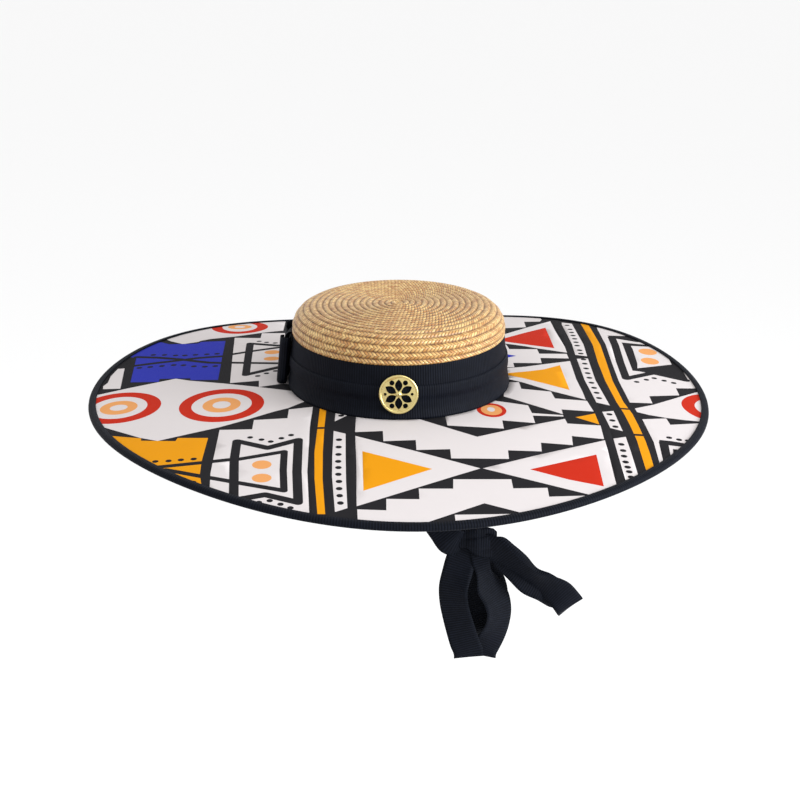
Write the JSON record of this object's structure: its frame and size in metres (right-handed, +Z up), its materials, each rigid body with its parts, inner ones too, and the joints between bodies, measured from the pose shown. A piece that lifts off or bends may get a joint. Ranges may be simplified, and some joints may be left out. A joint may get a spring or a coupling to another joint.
{
  "type": "bolero hat",
  "caption": "Bolero hat: low flat-topped straw crown, ribbon bands with a pierced badge, very wide cloth brim in a geometric print, chin ribbon tied in a bow below the brim.",
  "frame": {"origin": "middle of the head opening, in the plane of the crown's foot, where the hat sits on a head", "axes": "+Z up through the crown, -Y to the front where the badge is, +X to the right of someone who looks at the badge"},
  "size_m": [0.5, 0.52, 0.2991],
  "materials": {
    "straw": "sewn straw braid, satin",
    "printed_cloth": "matt printed cotton",
    "ribbon": "ribbed grosgrain",
    "brass": "polished"
  },
  "bodies": {
    "root": {"crown": "straw", "brim": "printed_cloth", "brim_binding": "ribbon", "hat_band_upper": "ribbon", "hat_band_lower": "ribbon", "badge": "brass", "side_bow_loop_front": "ribbon", "side_bow_loop_back": "ribbon", "side_bow_knot": "ribbon", "chin_strap_left": "ribbon", "chin_strap_right": "ribbon", "chin_knot": "ribbon", "chin_bow_long_loop": "ribbon", "chin_bow_drop_loop": "ribbon", "chin_bow_tail_left": "ribbon", "chin_bow_tail_right": "ribbon"}
  },
  "joints": []
}
